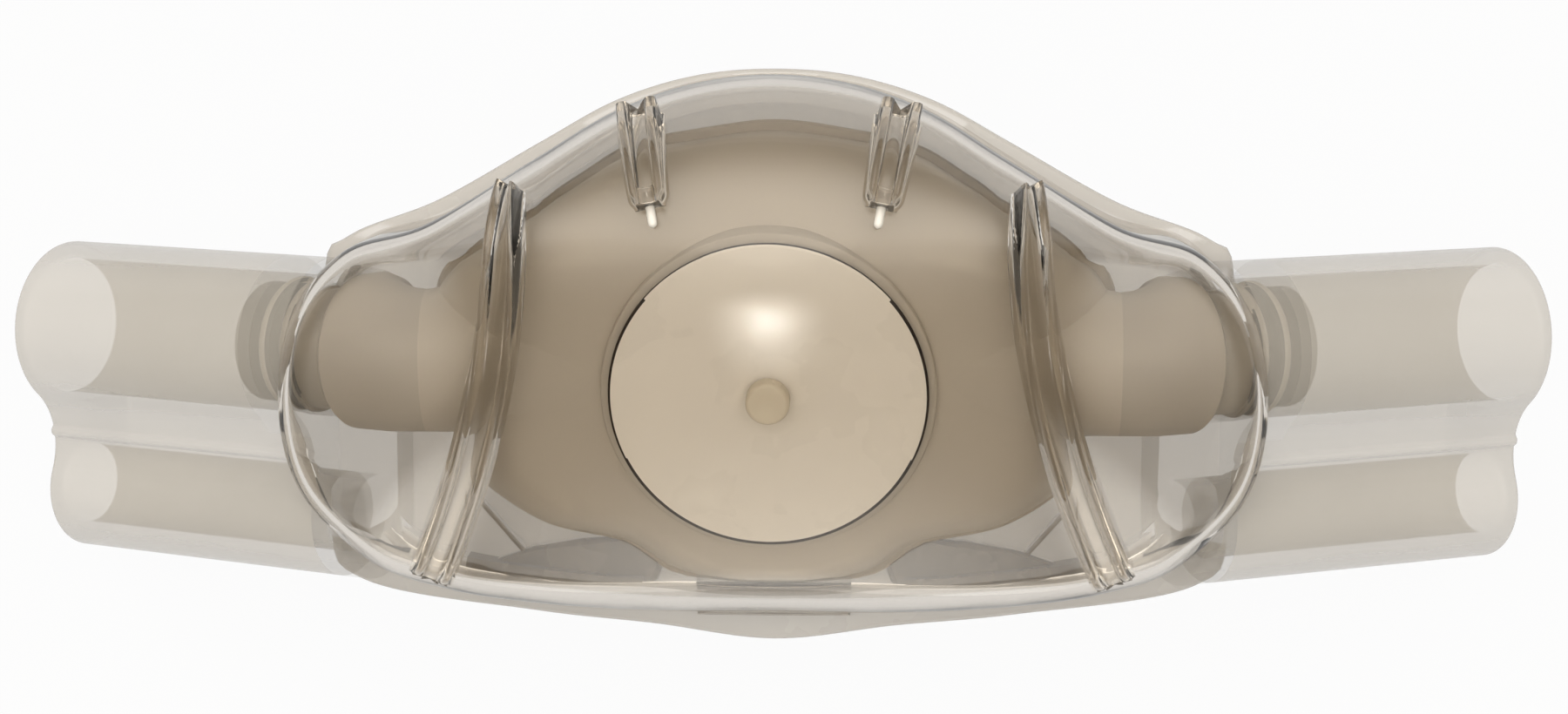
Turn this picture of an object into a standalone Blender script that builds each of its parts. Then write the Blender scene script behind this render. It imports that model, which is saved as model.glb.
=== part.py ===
"""Adult double nasal hood for inhalation sedation, lying open side down.

X runs from the left arm to the right arm, +Y towards the bridge of the nose,
+Z out of the front of the hood. The arms rest on z = 0.
All sizes are in millimetres here and become metres when a mesh is made.
"""
import bmesh
import bpy
import math
from mathutils import Vector

MM = 0.001

# Mesh fineness
OUTLINE_POINTS = 60
CUP_OUTLINE_POINTS = 48
ARM_ARC_POINTS = 14
ARM_SMALL_ARC_POINTS = 10
ARM_WAIST_POINTS = 6
TUBE_POINTS = 26
TURN_POINTS = 40
RIB_STEPS = 12
SLAB_STEPS = 24
SHARP_DEG = 38.0

# General fits
SEAT_GAP = 0.3
OVERCUT = 1.5

# Face flange
FLANGE_THICKNESS = 1.8
FLANGE_RISE = 6.5
FLANGE_EDGE_ROUND = 0.6
FLANGE_BRIDGE_Y = 33.0
FLANGE_LIP_Y = -33.0
FLANGE_HOLE_MARGIN = 0.6
COLLAR_WALL = 1.3
COLLAR_HEIGHT = 3.0
COLLAR_ROOT_LIFT = 0.5
COLLAR_END = 10.6

# Clear cover; lifts are heights above the flange's sides
SHELL_WALL = 1.2
SHELL_BRIDGE_INSET = 1.0
SHELL_LIP_INSET = 4.4
SHELL_SIDE_X = 54.6
SHELL_OVERHANG = 1.6
SHELL_CENTRE_Y = -1.0
SHELL_DOME_GAP = 5.7
SHELL_DOME_BREAK = 15.4
SHELL_CROWN_R = 143.0
SHELL_LOBE_LIFT = 28.3
SHELL_LOBE_SLOPE = 0.16
SHELL_LOBE_CROWN_R = 50.0
SHELL_LOBE_Y = 3.0
LOBE_BLEND_OUT = 9.0
LOBE_BLEND_IN = 3.6
SHELL_BRIDGE_EDGE = (19.0, 20.0)
SHELL_SIDE_EDGE = (4.0, 3.2)
SHELL_LIP_EDGE = (7.0, 12.0)
BAR_ROOT = 0.9
BAR_TAPER = 0.4
SLOT_TAPER = 0.1
RIB_WIDTH = 4.4
RIB_HEIGHT = 1.7
RIB_SLOT = 2.0
RIB_SLOT_DEPTH = 0.9
RIB_X = 30.1
RIB_LEAN = 0.231
RIB_BOW_R = 100.0
RIB_BRIDGE_Y = 20.8
RIB_LIP_Y = -23.6
PRONG_WIDTH = 4.2
PRONG_HEIGHT = 2.4
PRONG_SLOT = 1.9
PRONG_SLOT_DEPTH = 1.9
PRONG_START = 3.6
PRONG_LENGTH = 8.6
PRONG_TIP = 1.0
PRONG_X = 13.8
PRONG_LEAN = 0.2
TAB_WIDTH = 17.6
TAB_REACH = 1.0
TAB_ROOT = 3.4
TAB_HEIGHT = 2.2

# Arms: each one extrusion with a large and a small bore
ARM_SWEEP_DEG = 25.0
ARM_REACH = 30.2
ARM_SINK = 8.1
ARM_AXIS_Y = 1.8
ARM_ROOT_LIFT = 13.77
BIG_BORE_R = 7.95
BIG_WALL = 2.05
SMALL_BORE_R = 4.7
SMALL_WALL = 2.8
BORE_SPACING = 19.6
WAIST_FILLET_R = 8.0
MOUTH_CHAMFER = 0.6

# Exhalation valve
VALVE_TILT_DEG = 12.0
VALVE_Y = -1.4
VALVE_LIFT = 25.0
DISC_R = 17.4
DISC_THICKNESS = 0.8
DISC_EDGE = 0.2
SEAT_RING_WIDTH = 2.6
SEAT_MARGIN = 0.9
SEAT_CHAMFER = 0.3
SEAT_HEIGHT = 0.9
SPOKE_WIDTH = 2.4
HUB_R = 4.2
STEM_R = 1.1
STEM_CLEARANCE = 0.3
BUTTON_R = 2.4
BUTTON_HEIGHT = 1.8
BUTTON_ROUND = 0.4
BARB_R = 1.9
BARB_HEIGHT = 1.4
BARB_LAND = 0.3
BARB_TIP_R = 0.3

# Nose cup; margins are measured from the valve disc
CUP_WALL = 1.4
CUP_SIDE_MARGIN = 16.2
CUP_BRIDGE_MARGIN = 10.3
CUP_LIP_MARGIN = 7.0
CUP_CHIN_X = 15.0
CUP_CENTRE_Y = 1.0
CUP_CROWN_FLAT_X = 12.0
CUP_CROWN_R = 111.0
CUP_CROWN_BREAK = 14.4
CUP_BRIDGE_EDGE = (15.0, 14.0)
CUP_SIDE_EDGE = (7.0, 8.0)
CUP_LIP_EDGE = (6.0, 11.0)
CUP_RIM_WIDTH = 1.2
CUP_RIM_THICKNESS = 1.4
TUBE_R = 9.0
TUBE_WALL = 1.5
TUBE_RISE_DEG = -2.0
TUBE_ROOT = 13.3
TUBE_BEND_BACK = 4.2
TUBE_BORE_STEP = 1.2
PLUG_CLEARANCE = 0.3
PLUG_LENGTH = 10.6
PLUG_SHOULDER = 0.5
PLUG_NECK_DROP = 0.5
PLUG_END_TAPER = 0.3
BEAD_LENGTH = 1.5
BEAD_GAP = 1.3
BEAD_COUNT = 2

# Places that follow from the sizes above
SWEEP = math.radians(ARM_SWEEP_DEG)
BIG_R = BIG_BORE_R + BIG_WALL
SMALL_R = SMALL_BORE_R + SMALL_WALL
SETBACK = BIG_R - SMALL_R
ARM_END_X = SHELL_SIDE_X + ARM_REACH
ARM_ROOT_X = SHELL_SIDE_X - ARM_SINK
ARM_END_Z = BIG_R * math.cos(SWEEP) - MOUTH_CHAMFER * math.sin(SWEEP)
ARM_ROOT_Z = ARM_END_Z + math.tan(SWEEP) * (ARM_END_X - ARM_ROOT_X)
FLANGE_SIDE_X = SHELL_SIDE_X - SHELL_OVERHANG
FLANGE_SIDE_Z = ARM_ROOT_Z - ARM_ROOT_LIFT
SHELL_BRIDGE_Y = FLANGE_BRIDGE_Y - SHELL_BRIDGE_INSET
SHELL_LIP_Y = FLANGE_LIP_Y + SHELL_LIP_INSET
SEATED_LIFT = FLANGE_THICKNESS + SEAT_GAP
VALVE_Z = FLANGE_SIDE_Z + VALVE_LIFT
VALVE_TILT = math.radians(VALVE_TILT_DEG)
CUP_SIDE_X = DISC_R + CUP_SIDE_MARGIN
CUP_BRIDGE_Y = VALVE_Y + DISC_R + CUP_BRIDGE_MARGIN
CUP_LIP_Y = VALVE_Y - DISC_R - CUP_LIP_MARGIN
TUBE_BEND_X = ARM_ROOT_X - TUBE_BEND_BACK
TUBE_INNER_X = CUP_SIDE_X - TUBE_ROOT
STEM_HOLE_R = STEM_R + STEM_CLEARANCE


def clear_scene():
    for obj in list(bpy.data.objects):
        bpy.data.objects.remove(obj, do_unlink=True)


def arm_axis_z(x):
    """Height of the large bore's axis at a distance x from the middle."""
    return ARM_END_Z + math.tan(SWEEP) * (ARM_END_X - abs(x))


def flange_z(x):
    """Underside of the flange, which follows the cheeks from side to side."""
    share = min(1.0, abs(x) / FLANGE_SIDE_X)
    return FLANGE_SIDE_Z + FLANGE_RISE * (1.0 - share * share)


# Outlines from the bridge round the right side to the lip, as shares of three
# sizes: the side's x, the bridge's y for y > 0 and the lip's y for y < 0
FLANGE_SHAPE = [
    (0.0, 1.0), (0.170, 0.976), (0.340, 0.891), (0.509, 0.742), (0.736, 0.536), (0.943, 0.400),
    (1.0, 0.242), (1.0, -0.606), (0.925, -0.836), (0.528, -0.918), (0.264, -0.952), (0.0, -1.0),
]
SHELL_SHAPE = [
    (0.0, 1.0), (0.165, 0.969), (0.3205, 0.879), (0.476, 0.724), (0.696, 0.503), (0.861, 0.415),
    (0.967, 0.202), (1.0, -0.140), (0.963, -0.490), (0.833, -0.776), (0.705, -0.899),
    (0.513, -0.955), (0.256, -0.990), (0.0, -1.0),
]
CUP_SHAPE = [
    (0.0, 1.0), (0.253, 0.962), (0.473, 0.905), (0.643, 0.783), (0.795, 0.654), (0.895, 0.500),
    (0.935, 0.300), (0.945, -0.155),
    (1.0, -0.519), (0.774, -0.698), (0.506, -0.775), (0.342, -0.905), (0.149, -0.988), (0.0, -1.0),
]


def catmull(p0, p1, p2, p3, t):
    """Point of a Catmull-Rom span from p1 to p2."""
    a = 2.0 * p1
    b = p2 - p0
    c = 2.0 * p0 - 5.0 * p1 + 4.0 * p2 - p3
    d = 3.0 * p1 - p0 - 3.0 * p2 + p3
    return 0.5 * (a + b * t + c * t * t + d * t * t * t)


def closed_outline(shape, side_x, bridge_y, lip_y, count):
    """Even points along the smooth closed curve through a mirrored outline shape."""
    half = [(a * side_x, b * bridge_y if b > 0.0 else -b * lip_y) for a, b in shape]
    right = [Vector(p) for p in half]
    left = [Vector((-p[0], p[1])) for p in reversed(half[1:-1])]
    knots = right + left
    n = len(knots)
    steps = 16
    dense = []
    for i in range(n):
        span = [knots[(i + k - 1) % n] for k in range(4)]
        dense += [catmull(*span, step / steps) for step in range(steps)]
    lengths = [0.0]
    for i in range(len(dense)):
        lengths.append(lengths[-1] + (dense[(i + 1) % len(dense)] - dense[i]).length)
    points = []
    j = 0
    for i in range(count):
        target = lengths[-1] * i / count
        while lengths[j + 1] < target:
            j += 1
        share = (target - lengths[j]) / (lengths[j + 1] - lengths[j])
        points.append(dense[j].lerp(dense[(j + 1) % len(dense)], share))
    return points


def flange_outline():
    return closed_outline(FLANGE_SHAPE, FLANGE_SIDE_X, FLANGE_BRIDGE_Y, FLANGE_LIP_Y, OUTLINE_POINTS)


def shell_outline():
    return closed_outline(SHELL_SHAPE, SHELL_SIDE_X, SHELL_BRIDGE_Y, SHELL_LIP_Y, OUTLINE_POINTS)


def cup_outline(count=CUP_OUTLINE_POINTS):
    return closed_outline(CUP_SHAPE, CUP_SIDE_X, CUP_BRIDGE_Y, CUP_LIP_Y, count)


def inset(points, distance):
    """The outline moved inwards by a distance, at right angles to itself."""
    moved = []
    n = len(points)
    for i in range(n):
        tangent = (points[(i + 1) % n] - points[i - 1]).normalized()
        moved.append(points[i] + distance * Vector((tangent.y, -tangent.x)))
    return moved


def smoothstep(low, high, value):
    share = min(1.0, max(0.0, (value - low) / (high - low)))
    return share * share * (3.0 - 2.0 * share)


# Mesh helpers
def new_object(name, bm):
    """A smooth-shaded object of a bmesh given in millimetres."""
    bmesh.ops.recalc_face_normals(bm, faces=bm.faces)
    quads = [face for face in bm.faces if len(face.verts) == 4]
    bmesh.ops.triangulate(bm, faces=quads, quad_method="SHORT_EDGE")
    bmesh.ops.scale(bm, vec=(MM, MM, MM), verts=bm.verts)
    mesh = bpy.data.meshes.new(name)
    bm.to_mesh(mesh)
    bm.free()
    mesh.shade_smooth()
    mesh.set_sharp_from_angle(angle=math.radians(SHARP_DEG))
    obj = bpy.data.objects.new(name, mesh)
    bpy.context.collection.objects.link(obj)
    return obj


def bridge(bm, first, second):
    n = len(first)
    for i in range(n):
        bm.faces.new((first[i], first[(i + 1) % n], second[(i + 1) % n], second[i]))


def loft(name, loops, closed=False, tip=None):
    """A body through loops of points, with flat ends, a tip, or closed into a ring."""
    bm = bmesh.new()
    rings = [[bm.verts.new(p) for p in loop] for loop in loops]
    for first, second in zip(rings, rings[1:]):
        bridge(bm, first, second)
    if closed:
        bridge(bm, rings[-1], rings[0])
        return new_object(name, bm)
    bm.faces.new(rings[0])
    if tip is None:
        bm.faces.new(rings[-1])
    else:
        point = bm.verts.new(tip)
        for i in range(len(rings[-1])):
            bm.faces.new((rings[-1][i - 1], rings[-1][i], point))
    return new_object(name, bm)


def cutter(obj):
    obj.hide_render = True
    obj.display_type = "WIRE"
    return obj


def combine(target, tool, operation):
    """Boolean of two bodies; the tool stays as a hidden guide."""
    cutter(tool)
    mod = target.modifiers.new(operation.lower() + "_" + tool.name, "BOOLEAN")
    mod.operation = operation
    mod.solver = "EXACT"
    mod.object = tool
    return target


def material(obj, colour, roughness, alpha=1.0):
    mat = bpy.data.materials.new(obj.name + "_finish")
    mat.use_nodes = True
    shader = mat.node_tree.nodes["Principled BSDF"]
    shader.inputs["Base Color"].default_value = (*colour, 1.0)
    shader.inputs["Roughness"].default_value = roughness
    shader.inputs["Metallic"].default_value = 0.0
    shader.inputs["Alpha"].default_value = alpha
    obj.data.materials.clear()
    obj.data.materials.append(mat)
    return obj


def flange_slab(name, reach_x):
    """A block up to the seat on the flange, used to trim what stands on it."""
    xs = [reach_x * (2.0 * i / SLAB_STEPS - 1.0) for i in range(SLAB_STEPS + 1)]
    top = [(x, flange_z(x) + SEATED_LIFT) for x in xs]
    profile = top + [(reach_x, -OVERCUT), (-reach_x, -OVERCUT)]
    ends = (FLANGE_LIP_Y - OVERCUT, FLANGE_BRIDGE_Y + OVERCUT)
    loops = [[(x, y, z) for x, z in profile] for y in ends]
    return loft(name, loops)


# Domes: an upright wall on an outline, a rounded edge and a crown
class Dome:
    def __init__(self, outline, centre_y, top, base_z, edge):
        """edge gives the edge's reach inwards and its fall, for an angle."""
        self.outline = outline
        self.centre = Vector((0.0, centre_y))
        self.top = top
        self.base_z = base_z
        self.edge = edge
        polar = sorted((self.angle(p), (p - self.centre).length) for p in outline)
        before = (polar[-1][0] - 2.0 * math.pi, polar[-1][1])
        after = (polar[0][0] + 2.0 * math.pi, polar[0][1])
        self.polar = [before] + polar + [after]

    def angle(self, p):
        d = p - self.centre
        return math.atan2(d.y, d.x)

    def reach(self, angle):
        for (a0, r0), (a1, r1) in zip(self.polar, self.polar[1:]):
            if a0 <= angle <= a1:
                return r0 + (r1 - r0) * (angle - a0) / (a1 - a0)
        return self.polar[0][1]

    def height(self, x, y):
        p = Vector((x, y))
        angle = self.angle(p)
        across, fall = self.edge(angle)
        depth = max(0.0, self.reach(angle) - (p - self.centre).length)
        share = max(0.0, 1.0 - depth / across)
        return self.top(x, y) - fall * (1.0 - math.sqrt(1.0 - share * share))

    def normal(self, x, y):
        e = 0.05
        dx = (self.height(x + e, y) - self.height(x - e, y)) / (2.0 * e)
        dy = (self.height(x, y + e) - self.height(x, y - e)) / (2.0 * e)
        return Vector((-dx, -dy, 1.0)).normalized()

    def on(self, x, y, out, side, across):
        """A point of the surface, moved out along its normal and sideways."""
        n = self.normal(x, y)
        flat = (across - across.dot(n) * n).normalized()
        return Vector((x, y, self.height(x, y))) + out * n + side * flat

    def body(self, name):
        loops = [[(p.x, p.y, self.base_z) for p in self.outline]]
        for kind, share in EDGE_RINGS:
            loop = []
            for p in self.outline:
                ray = p - self.centre
                across = self.edge(self.angle(p))[0]
                inner = max(0.02, 1.0 - across / ray.length)
                t = 1.0 - share * (1.0 - inner) if kind == "edge" else inner * (1.0 - share)
                q = self.centre + t * ray
                loop.append((q.x, q.y, self.height(q.x, q.y)))
            loops.append(loop)
        tip = (self.centre.x, self.centre.y, self.height(self.centre.x, self.centre.y))
        return loft(name, loops, tip=tip)


EDGE_RINGS = [("edge", s) for s in (0.0, 0.05, 0.18, 0.38, 0.66, 1.0)]
EDGE_RINGS += [("crown", s) for s in (0.35, 0.7)]


def rib_x(y):
    """Distance of the long ribs from the middle, which spread towards the lip."""
    return RIB_X - RIB_LEAN * y + y * y / (2.0 * RIB_BOW_R)


def tilt_rise(y, limit):
    """Rise of the valve's tilted plane from its middle, level beyond a limit."""
    return math.tan(VALVE_TILT) * min(y - VALVE_Y, limit)


def shell_top(lower=0.0):
    def top(x, y):
        dome = VALVE_Z + SHELL_DOME_GAP + tilt_rise(y, SHELL_DOME_BREAK)
        dome -= x * x / (2.0 * SHELL_CROWN_R)
        lobe = FLANGE_SIDE_Z + SHELL_LOBE_LIFT - (y - SHELL_LOBE_Y) ** 2 / (2.0 * SHELL_LOBE_CROWN_R)
        lobe -= SHELL_LOBE_SLOPE * max(0.0, abs(x) - rib_x(y))
        share = smoothstep(-LOBE_BLEND_OUT, LOBE_BLEND_IN, rib_x(y) - abs(x))
        return lobe + (dome - lobe) * share - lower
    return top


def edge_rule(bridge, side, lip, less=0.0):
    """Edge sizes (reach, fall) that turn from the sides to the bridge or the lip."""
    def rule(angle):
        up = math.sin(angle)
        end = bridge if up > 0.0 else lip
        share = up * up
        return tuple(side[k] + (end[k] - side[k]) * share - less for k in (0, 1))
    return rule


# The two-bore arm section, seen along the arm
def arm_section(grow=0.0):
    """Outline of an arm as (y, n) with n square to the axis, pointing forwards."""
    big, small = BIG_R + grow, SMALL_R + grow
    fillet = WAIST_FILLET_R - grow
    c1, c2 = Vector((0.0, 0.0)), Vector((-BORE_SPACING, -SETBACK))
    line = c2 - c1
    span = line.length
    a, b = big + fillet, small + fillet
    along = (a * a - b * b + span * span) / (2.0 * span)
    off = math.sqrt(a * a - along * along)
    unit = line / span
    front = Vector((unit.y, -unit.x))
    if front.y < 0.0:
        front = -front
    waist = c1 + along * unit + off * front
    start = math.atan2((waist - c1).y, (waist - c1).x)
    points = []
    for i in range(ARM_ARC_POINTS + 1):
        angle = start - (start + math.pi / 2.0) * i / ARM_ARC_POINTS
        points.append(c1 + big * Vector((math.cos(angle), math.sin(angle))))
    stop = math.atan2((waist - c2).y, (waist - c2).x)
    for i in range(ARM_SMALL_ARC_POINTS + 1):
        angle = -math.pi / 2.0 - (1.5 * math.pi - stop) * i / ARM_SMALL_ARC_POINTS
        points.append(c2 + small * Vector((math.cos(angle), math.sin(angle))))
    first = math.atan2((c2 - waist).y, (c2 - waist).x)
    last = math.atan2((c1 - waist).y, (c1 - waist).x)
    for i in range(1, ARM_WAIST_POINTS):
        angle = first + (last - first) * i / ARM_WAIST_POINTS
        points.append(waist + fillet * Vector((math.cos(angle), math.sin(angle))))
    return points


def arm_point(side, x, y, n):
    """World point of a section point at the station x of the arm's axis."""
    ax, az = math.sin(SWEEP), math.cos(SWEEP)
    return (side * (x + n * ax), ARM_AXIS_Y + y, arm_axis_z(x) + n * az)


def arm_body(name, side, start, grow, chamfer):
    """An arm from the station start to its end, grown all round, with its edge chamfered."""
    rule = [(start, grow), (ARM_END_X - chamfer * math.cos(SWEEP), grow)]
    if chamfer > 0.0:
        rule.append((ARM_END_X, grow - chamfer))
    loops = [[arm_point(side, x, p.x, p.y) for p in arm_section(size)] for x, size in rule]
    return loft(name, loops)


def circle(count):
    """Angles of even points round a circle."""
    return [2.0 * math.pi * i / count for i in range(count)]


def bore_body(name, side, radius, y, n):
    """Cutter for one bore, with a chamfered mouth at the end of the arm."""
    step = MOUTH_CHAMFER * math.cos(SWEEP)
    flare = radius + MOUTH_CHAMFER + OVERCUT / math.cos(SWEEP)
    rule = [(ARM_ROOT_X - OVERCUT, radius), (ARM_END_X - step, radius), (ARM_END_X + OVERCUT, flare)]
    loops = []
    for x, r in rule:
        loops.append([arm_point(side, x, y + r * math.cos(a), n + r * math.sin(a))
                      for a in circle(TUBE_POINTS)])
    return loft(name, loops)


# Face frame: flange, collar and arms in one soft moulding
def flange_ring():
    """The flange with rounded edges; its hole lies inside the rim of the nose cup."""
    outer = flange_outline()
    inner = inset(cup_outline(OUTLINE_POINTS), CUP_WALL + FLANGE_HOLE_MARGIN)
    r = FLANGE_EDGE_ROUND
    rule = [(0.0, r), (r * 0.3, r * 0.3), (r, 0.0)]
    loops = []

    def loop(share, step, lift):
        line = []
        for p, q in zip(outer, inner):
            away = (q - p).normalized()
            spot = p.lerp(q, share) + step * away
            line.append((spot.x, spot.y, flange_z(spot.x) + lift))
        return line

    for step, lift in rule:
        loops.append(loop(0.0, step, lift))
    loops += [loop(0.5, 0.0, 0.0)]
    for step, lift in reversed(rule):
        loops.append(loop(1.0, -step, lift))
    for step, lift in rule:
        loops.append(loop(1.0, -step, FLANGE_THICKNESS - lift))
    loops += [loop(0.5, 0.0, FLANGE_THICKNESS)]
    for step, lift in reversed(rule):
        loops.append(loop(0.0, step, FLANGE_THICKNESS - lift))
    return loft("face_frame", loops, closed=True)


def collar_ring():
    """Low wall on the flange that the clear cover fits over, open at the arms and the chin."""
    outer = inset(shell_outline(), SHELL_WALL + 2.0 * SEAT_GAP)
    inner = inset(outer, COLLAR_WALL)
    low, high = COLLAR_ROOT_LIFT, FLANGE_THICKNESS + COLLAR_HEIGHT
    loops = []
    for line, lift in ((outer, low), (outer, high), (inner, high), (inner, low)):
        loops.append([(p.x, p.y, flange_z(p.x) + lift) for p in line])
    ring = loft("collar_guide", loops, closed=True)
    bottom = FLANGE_SIDE_Z
    top = FLANGE_SIDE_Z + FLANGE_RISE + high + OVERCUT
    reach_y = FLANGE_BRIDGE_Y - FLANGE_LIP_Y
    for side, word in ((-1.0, "left"), (1.0, "right")):
        centre = (side * SHELL_SIDE_X, 0.0, (bottom + top) / 2.0)
        box = block(word + "_collar_end_cut", centre, (2.0 * COLLAR_END, reach_y, top - bottom))
        combine(ring, box, "DIFFERENCE")
    centre = (0.0, FLANGE_LIP_Y, (bottom + top) / 2.0)
    size = (2.0 * CUP_CHIN_X, -FLANGE_LIP_Y, top - bottom)
    combine(ring, block("collar_chin_cut", centre, size), "DIFFERENCE")
    return ring


def block(name, centre, size):
    bm = bmesh.new()
    bmesh.ops.create_cube(bm, size=1.0)
    bmesh.ops.scale(bm, vec=size, verts=bm.verts)
    bmesh.ops.translate(bm, vec=centre, verts=bm.verts)
    return new_object(name, bm)


def make_face_frame():
    frame = flange_ring()
    combine(frame, collar_ring(), "UNION")
    for side, word in ((-1.0, "left"), (1.0, "right")):
        arm = arm_body(word + "_arm_guide", side, ARM_ROOT_X, 0.0, MOUTH_CHAMFER)
        combine(frame, arm, "UNION")
    for side, word in ((-1.0, "left"), (1.0, "right")):
        gas = bore_body(word + "_gas_bore", side, BIG_BORE_R, 0.0, 0.0)
        vacuum = bore_body(word + "_vacuum_bore", side, SMALL_BORE_R, -BORE_SPACING, -SETBACK)
        combine(frame, gas, "DIFFERENCE")
        combine(frame, vacuum, "DIFFERENCE")
    return material(frame, (0.56, 0.52, 0.46), 0.45, 0.6)


# Clear cover
def channel(name, dome, line, width, out, slot, floor):
    """A U-shaped bar laid on a dome; floor gives the slot's depth at each station."""
    loops = []
    n = len(line)
    for i, (x, y) in enumerate(line):
        before, after = line[max(0, i - 1)], line[min(n - 1, i + 1)]
        run = Vector((after[0] - before[0], after[1] - before[1], 0.0)).normalized()
        across = Vector((run.y, -run.x, 0.0))
        half, top, inner = width / 2.0, width / 2.0 - BAR_TAPER, slot / 2.0
        bed = out - floor[i]
        deep = inner - SLOT_TAPER
        corners = [(-half, -BAR_ROOT), (half, -BAR_ROOT), (top, out), (inner, out), (deep, bed),
                   (-deep, bed), (-inner, out), (-top, out)]
        loops.append([dome.on(x, y, lift, side, across) for side, lift in corners])
    return loft(name, loops)


def rib_guide(name, dome, side):
    """A long rib from the bridge edge to the lip edge, with its slot open at both ends."""
    line = []
    for i in range(RIB_STEPS + 1):
        y = RIB_BRIDGE_Y + (RIB_LIP_Y - RIB_BRIDGE_Y) * i / RIB_STEPS
        line.append((side * rib_x(y), y))
    floor = [RIB_SLOT_DEPTH] * len(line)
    return channel(name, dome, line, RIB_WIDTH, RIB_HEIGHT, RIB_SLOT, floor)


def prong_guide(name, dome, side):
    """A short prong that points down from the bridge, hollow but for its closed tip."""
    line = []
    floor = []
    open_length = PRONG_LENGTH - PRONG_TIP
    stations = [open_length * i / 4.0 for i in range(5)] + [open_length + SLOT_TAPER, PRONG_LENGTH]
    for down in stations:
        y = SHELL_BRIDGE_Y - PRONG_START - down
        line.append((side * (PRONG_X - PRONG_LEAN * down), y))
        floor.append(PRONG_SLOT_DEPTH if down <= open_length else SLOT_TAPER)
    return channel(name, dome, line, PRONG_WIDTH, PRONG_HEIGHT, PRONG_SLOT, floor)


def shell_dome(less, base_z):
    """The cover's dome, made smaller all round by less."""
    outline = inset(shell_outline(), less)
    edge = edge_rule(SHELL_BRIDGE_EDGE, SHELL_SIDE_EDGE, SHELL_LIP_EDGE, less)
    return Dome(outline, SHELL_CENTRE_Y, shell_top(less), base_z, edge)


def make_outer_shell():
    dome = shell_dome(0.0, FLANGE_SIDE_Z)
    shell = dome.body("outer_shell")
    for side, word in ((-1.0, "left"), (1.0, "right")):
        combine(shell, rib_guide(word + "_rib_guide", dome, side), "UNION")
        combine(shell, prong_guide(word + "_prong_guide", dome, side), "UNION")
    tab_y = SHELL_LIP_Y + (TAB_ROOT - TAB_REACH) / 2.0
    tab_z = flange_z(0.0) + SEATED_LIFT + TAB_HEIGHT / 2.0
    tab = block("tab_guide", (0.0, tab_y, tab_z), (TAB_WIDTH, TAB_ROOT + TAB_REACH, TAB_HEIGHT))
    combine(shell, tab, "UNION")
    core = shell_dome(SHELL_WALL, FLANGE_SIDE_Z - OVERCUT).body("shell_core")
    combine(shell, core, "DIFFERENCE")
    for side, word in ((-1.0, "left"), (1.0, "right")):
        arm = arm_body(word + "_arm_clearance", side, ARM_ROOT_X - SEAT_GAP, SEAT_GAP, 0.0)
        combine(shell, arm, "DIFFERENCE")
    combine(shell, flange_slab("shell_trim", SHELL_SIDE_X + OVERCUT), "DIFFERENCE")
    return material(shell, (0.80, 0.78, 0.74), 0.06, 0.25)


# Nose cup with its side tubes and valve seat
def cup_top(lower=0.0):
    def top(x, y):
        seat = VALVE_Z - (SEAT_HEIGHT + SEAT_GAP) / math.cos(VALVE_TILT)
        fall = max(0.0, abs(x) - CUP_CROWN_FLAT_X) ** 2 / (2.0 * CUP_CROWN_R)
        return seat + tilt_rise(y, CUP_CROWN_BREAK) - fall - lower
    return top


def cup_dome(less, base_z):
    """The cup's dome, made smaller all round by less."""
    outline = inset(cup_outline(), less)
    edge = edge_rule(CUP_BRIDGE_EDGE, CUP_SIDE_EDGE, CUP_LIP_EDGE, less)
    return Dome(outline, CUP_CENTRE_Y, cup_top(less), base_z, edge)


def tube_body(name, side, rule):
    """A round body along the tube; rule holds (distance from the bend, radius)."""
    inner_slope = math.radians(TUBE_RISE_DEG)
    bend_z = arm_axis_z(TUBE_BEND_X)
    loops = []
    for run, radius in rule:
        if run < 0.0:
            x, z, slope = TUBE_BEND_X + run, bend_z - run * math.tan(inner_slope), inner_slope
        elif run > 0.0:
            x = TUBE_BEND_X + run * math.cos(SWEEP)
            z, slope = arm_axis_z(x), SWEEP
        else:
            x, z, slope = TUBE_BEND_X, bend_z, (inner_slope + SWEEP) / 2.0
        loop = []
        for angle in circle(TUBE_POINTS):
            across, up = radius * math.cos(angle), radius * math.sin(angle)
            spot = (x + up * math.sin(slope), ARM_AXIS_Y + across, z + up * math.cos(slope))
            loop.append((side * spot[0], spot[1], spot[2]))
        loops.append(loop)
    return loft(name, loops)


def plug_start():
    """Distance along the tube from its bend to the root face of the arm."""
    return (ARM_ROOT_X - TUBE_BEND_X) / math.cos(SWEEP) - SEAT_GAP


def plug_rule():
    """Outer radii of the tube: body, shoulder, neck and the beads of the plug."""
    run = plug_start()
    bead = BIG_BORE_R - PLUG_CLEARANCE
    neck = bead - PLUG_NECK_DROP
    rule = [(TUBE_INNER_X - TUBE_BEND_X, TUBE_R), (0.0, TUBE_R), (run - PLUG_SHOULDER, TUBE_R),
            (run, TUBE_R - PLUG_SHOULDER), (run, neck)]
    run += PLUG_LENGTH - BEAD_COUNT * (BEAD_LENGTH + BEAD_GAP)
    for _ in range(BEAD_COUNT):
        rule += [(run, neck), (run + 0.3 * BEAD_LENGTH, bead), (run + 0.7 * BEAD_LENGTH, bead),
                 (run + BEAD_LENGTH, neck)]
        run += BEAD_LENGTH + BEAD_GAP
    rule.append((run, neck - PLUG_END_TAPER))
    return rule


def valve_place(radius, angle, height):
    """World point at a radius, angle and height on the valve's tilted axis."""
    y, z = radius * math.sin(angle), height
    return (radius * math.cos(angle),
            VALVE_Y + y * math.cos(VALVE_TILT) - z * math.sin(VALVE_TILT),
            VALVE_Z + y * math.sin(VALVE_TILT) + z * math.cos(VALVE_TILT))


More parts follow.
